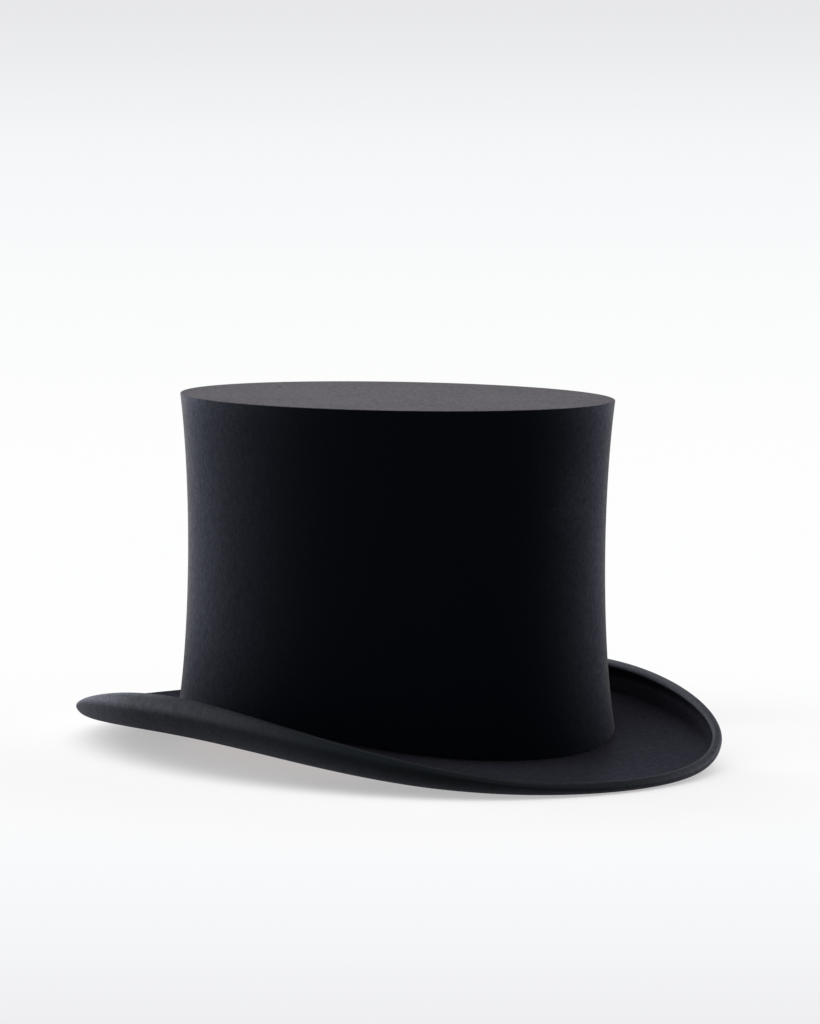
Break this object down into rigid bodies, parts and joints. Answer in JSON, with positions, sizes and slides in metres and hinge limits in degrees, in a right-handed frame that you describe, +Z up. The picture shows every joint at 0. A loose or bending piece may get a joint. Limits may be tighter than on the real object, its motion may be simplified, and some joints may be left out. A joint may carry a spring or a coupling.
{
  "type": "top hat",
  "caption": "Black felt-covered top hat: flat oval tip, waisted stiff crown, curled brim, satin lining and leather sweatband.",
  "frame": {"origin": "centre of the head opening, in the plane the brim stands on", "axes": "+Z up through the crown to the tip, -Y the front of the hat, +X the wearer's left"},
  "size_m": [0.2382, 0.3085, 0.1521],
  "materials": {
    "felt_cover": "matte, close-cropped black felt cloth",
    "stiff_shell": "shellac-stiffened cloth laminate, brown, satin",
    "wire": "spring steel",
    "sleeve": "crimped soft metal",
    "wadding": "loose cotton wadding",
    "satin": "ivory satin weave, silky",
    "satin_black": "black satin ribbon",
    "leather": "tan skiver leather, fine grain",
    "reed": "cane coloured cord",
    "tape": "waxed cotton tape",
    "thread": "waxed linen thread",
    "ticket": "uncoated paper, blank"
  },
  "bodies": {
    "root": {"crown_side_felt": "felt_cover", "crown_tip_felt": "felt_cover", "upper_brim_felt": "felt_cover", "under_brim_felt": "felt_cover", "crown_side_shell": "stiff_shell", "crown_tip_shell": "stiff_shell", "brim_shell": "stiff_shell", "brim_wire": "wire", "wire_joiner": "sleeve", "tip_wadding": "wadding", "tip_lining": "satin", "side_lining": "satin", "lining_piping": "satin_black", "sweatband_leather": "leather", "sweatband_reed": "reed", "reed_tape": "tape", "sweatband_seam_tape": "tape", "sweatband_stitching": "thread", "sweatband_bow": "satin_black", "size_label": "ticket"}
  },
  "joints": []
}
